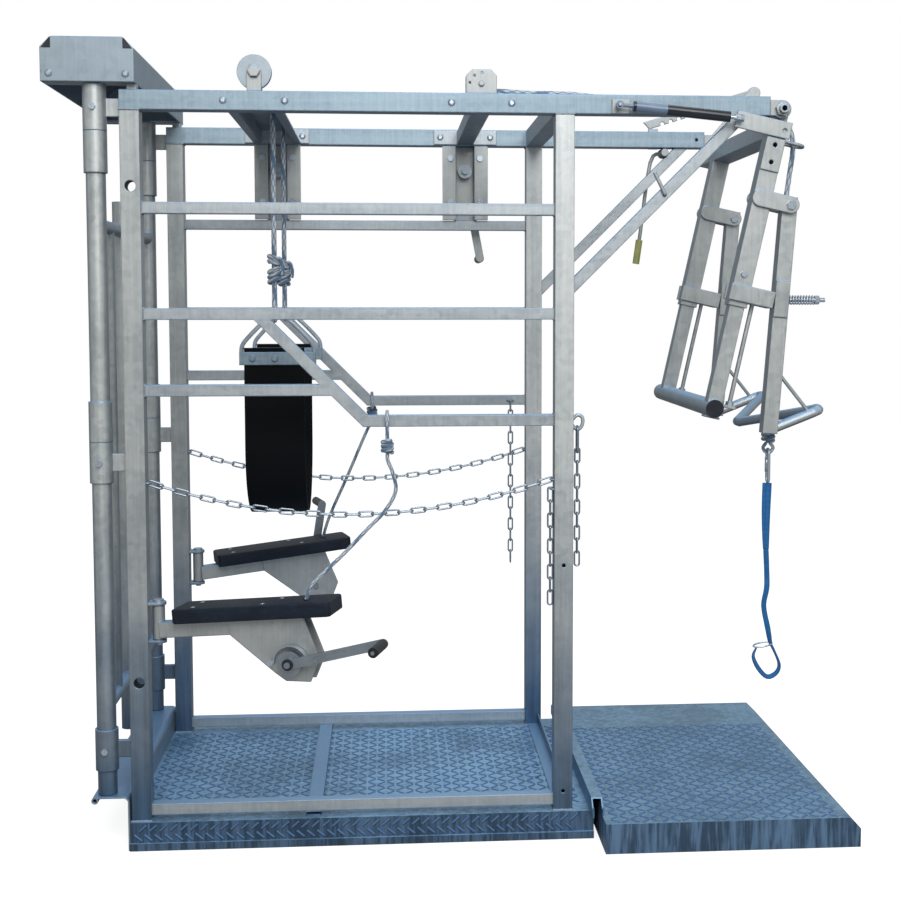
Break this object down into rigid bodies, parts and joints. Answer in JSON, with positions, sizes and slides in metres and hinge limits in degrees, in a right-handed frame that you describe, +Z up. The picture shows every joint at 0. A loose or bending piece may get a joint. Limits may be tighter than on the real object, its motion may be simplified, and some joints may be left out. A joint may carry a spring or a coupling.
{
  "type": "hoof trimming chute",
  "caption": "Galvanised tube crate on a tread plate base with a head gate, belly belt, leg rests with rope winches, side chains and a tilting hind leg frame.",
  "frame": {"origin": "on the ground under the middle of the crate", "axes": "+X along the crate towards the hind leg frame, +Y across to the far side, +Z up"},
  "size_m": [2.106, 1.3698, 2.1279],
  "materials": {
    "galvanised": "hot-dip zinc with spangle",
    "tread_plate": "hot-dip zinc on tread plate",
    "bright_steel": "zinc plated",
    "black_plastic": "matte",
    "black_rubber": "matte",
    "lime_grip": "soft",
    "rope": "braided",
    "blue_webbing": "woven"
  },
  "bodies": {
    "crate": {"floor_plate": "tread_plate", "floor_bearers": "galvanised", "front_posts": "galvanised", "rear_posts": "galvanised", "top_rails": "galvanised", "guard_rails": "galvanised", "cross_members": "galvanised", "braces": "galvanised", "platform": "tread_plate", "cover_box": "galvanised", "gate_foot": "galvanised", "gate_brackets": "galvanised", "winch_carriers": "galvanised", "winch_hangers": "galvanised", "sheave_brackets": "galvanised", "frame_bolts": "bright_steel", "rail_lugs": "galvanised", "rest_pins": "bright_steel", "belt_ropes": "rope", "hang_chains": "bright_steel", "leg_ropes": "rope", "hind_rope": "rope", "hind_hook": "bright_steel", "hind_strap": "blue_webbing"},
    "gate_near": {"gate_leaf_near": "galvanised"},
    "gate_far": {"gate_leaf_far": "galvanised"},
    "gate_handle": {"gate_lever": "galvanised", "gate_grip": "lime_grip"},
    "belly_pulley": {"belly_sheave": "galvanised"},
    "hind_pulley": {"hind_sheave": "galvanised"},
    "belly_drum": {"belly_winch": "bright_steel"},
    "hind_drum": {"hind_winch": "bright_steel", "hind_crank": "galvanised"},
    "hind_knob": {"hind_crank_grip": "black_plastic"},
    "sling": {"belly_belt": "black_rubber", "belt_clamps": "galvanised", "belt_bails": "bright_steel", "belt_knots": "rope"},
    "hind_gate": {"tilt_frame": "galvanised", "hind_bolts": "bright_steel", "hoof_springs": "bright_steel"},
    "hock_bar": {"hock_frame": "galvanised", "hock_caps": "black_plastic"},
    "hoof_loop": {"hoof_frame": "galvanised"},
    "strut_tube": {"strut_body": "bright_steel", "strut_sleeve": "black_plastic"},
    "strut_piston": {"strut_rod": "bright_steel"},
    "rack": {"tilt_rack": "galvanised"},
    "release": {"release_lever": "galvanised", "release_grip": "lime_grip"},
    "leg_rest_near": {"rest_near": "galvanised", "pad_near": "black_rubber"},
    "leg_winch_near": {"crank_near": "galvanised"},
    "leg_knob_near": {"grip_near": "black_plastic"},
    "leg_rest_far": {"rest_far": "galvanised", "pad_far": "black_rubber"},
    "leg_winch_far": {"crank_far": "galvanised"},
    "leg_knob_far": {"grip_far": "black_plastic"},
    "chain_near": {"side_chain_near": "bright_steel"},
    "chain_far": {"side_chain_far": "bright_steel"}
  },
  "joints": [
    {"name": "gate_near_swing", "type": "hinge", "parent": "crate", "child": "gate_near", "pos_m": [-0.6475, -0.395, 1.075], "axis": [0, 0, 1], "range_deg": [0, 80]},
    {"name": "gate_far_swing", "type": "hinge", "parent": "crate", "child": "gate_far", "pos_m": [-0.6475, 0.395, 1.075], "axis": [0, 0, 1], "range_deg": [-80, 0]},
    {"name": "gate_lever_pull", "type": "hinge", "parent": "crate", "child": "gate_handle", "pos_m": [-0.5575, 0.431, 1.945], "axis": [0, 1, 0], "range_deg": [-75, 0]},
    {"name": "belt_lift", "type": "slide", "parent": "crate", "child": "sling", "axis": [0, 0, 1], "range_m": [-0.1, 0.25], "deforming": ["belt_ropes"]},
    {"name": "belly_winch_turn", "type": "hinge", "parent": "crate", "child": "belly_drum", "pos_m": [-0.243, 0.39, 1.847], "axis": [0, 1, 0], "range_deg": [-200, 500]},
    {"name": "belly_pulley_spin", "type": "hinge", "parent": "crate", "child": "belly_pulley", "pos_m": [-0.243, -0.395, 2.025], "axis": [0, 1, 0], "continuous": true},
    {"name": "hind_pulley_spin", "type": "hinge", "parent": "crate", "child": "hind_pulley", "pos_m": [0.34, -0.395, 2.001], "axis": [0, 1, 0], "continuous": true},
    {"name": "hind_winch_turn", "type": "hinge", "parent": "crate", "child": "hind_drum", "pos_m": [0.34, 0.39, 1.847], "axis": [0, 1, 0], "continuous": true},
    {"name": "hind_knob_spin", "type": "hinge", "parent": "hind_drum", "child": "hind_knob", "pos_m": [0.39106, 0.456, 1.57678], "axis": [0, 1, 0], "continuous": true},
    {"name": "hind_tilt", "type": "hinge", "parent": "crate", "child": "hind_gate", "pos_m": [1.1315, 0, 1.942], "axis": [0, 1, 0], "range_deg": [-25, 3], "deforming": ["hind_rope"]},
    {"name": "hock_slide", "type": "slide", "parent": "hind_gate", "child": "hock_bar", "axis": [0.2164, 0, 0.9763], "range_m": [-0.12, 0.1]},
    {"name": "hoof_swing", "type": "hinge", "parent": "hind_gate", "child": "hoof_loop", "pos_m": [1.15543, 0, 1.69189], "axis": [0, 1, 0], "range_deg": [-6, 0], "stiffness_Nm_per_rad": 400, "deforming": ["hoof_springs"]},
    {"name": "strut_swing", "type": "hinge", "parent": "crate", "child": "strut_tube", "pos_m": [0.695, -0.45, 1.945], "axis": [0, 1, 0], "range_deg": [-10, 10]},
    {"name": "strut_stroke", "type": "slide", "parent": "strut_tube", "child": "strut_piston", "axis": [0.9954, 0, -0.0958], "range_m": [-0.02, 0.05]},
    {"name": "rack_swing", "type": "hinge", "parent": "hind_gate", "child": "rack", "pos_m": [1.27481, 0.438, 2.10792], "axis": [0, 1, 0], "range_deg": [-3, 14]},
    {"name": "release_pull", "type": "hinge", "parent": "crate", "child": "release", "pos_m": [0.9735, 0.41, 1.91], "axis": [0, 1, 0], "range_deg": [0, 30]},
    {"name": "rest_near_swing", "type": "hinge", "parent": "crate", "child": "leg_rest_near", "pos_m": [-0.5075, -0.395, 0.581], "axis": [0, 0, 1], "range_deg": [-70, 12], "deforming": ["leg_ropes"]},
    {"name": "rest_near_winch", "type": "hinge", "parent": "leg_rest_near", "child": "leg_winch_near", "pos_m": [-0.14732, -0.49151, 0.51826], "axis": [0.2588, 0.9659, 0], "continuous": true},
    {"name": "rest_near_knob", "type": "hinge", "parent": "leg_winch_near", "child": "leg_knob_near", "pos_m": [0.07842, -0.61411, 0.58286], "axis": [0.2588, 0.9659, 0], "continuous": true},
    {"name": "rest_far_swing", "type": "hinge", "parent": "crate", "child": "leg_rest_far", "pos_m": [-0.5075, 0.395, 0.581], "axis": [0, 0, 1], "range_deg": [-12, 70]},
    {"name": "rest_far_winch", "type": "hinge", "parent": "leg_rest_far", "child": "leg_winch_far", "pos_m": [-0.14732, 0.49151, 0.51826], "axis": [0.2588, -0.9659, 0], "continuous": true},
    {"name": "rest_far_knob", "type": "hinge", "parent": "leg_winch_far", "child": "leg_knob_far", "pos_m": [-0.12386, 0.55991, 0.77308], "axis": [0.2588, -0.9659, 0], "continuous": true},
    {"name": "chain_near_sway", "type": "hinge", "parent": "crate", "child": "chain_near", "pos_m": [0, -0.395, 0.967], "axis": [1, 0, 0], "range_deg": [-25, 25]},
    {"name": "chain_far_sway", "type": "hinge", "parent": "crate", "child": "chain_far", "pos_m": [0, 0.395, 0.967], "axis": [1, 0, 0], "range_deg": [-25, 25]}
  ],
  "couplings": [
    {"joint": "gate_far_swing", "follows": "gate_near_swing", "ratio": -1},
    {"joint": "gate_lever_pull", "follows": "gate_near_swing", "ratio": -0.9375},
    {"joint": "belly_winch_turn", "follows": "belt_lift", "rad_per_m": 34.5},
    {"joint": "strut_swing", "follows": "hind_tilt", "ratio": -0.3051},
    {"joint": "strut_stroke", "follows": "hind_tilt", "m_per_rad": -0.06997},
    {"joint": "rack_swing", "follows": "hind_tilt", "ratio": -0.5}
  ]
}
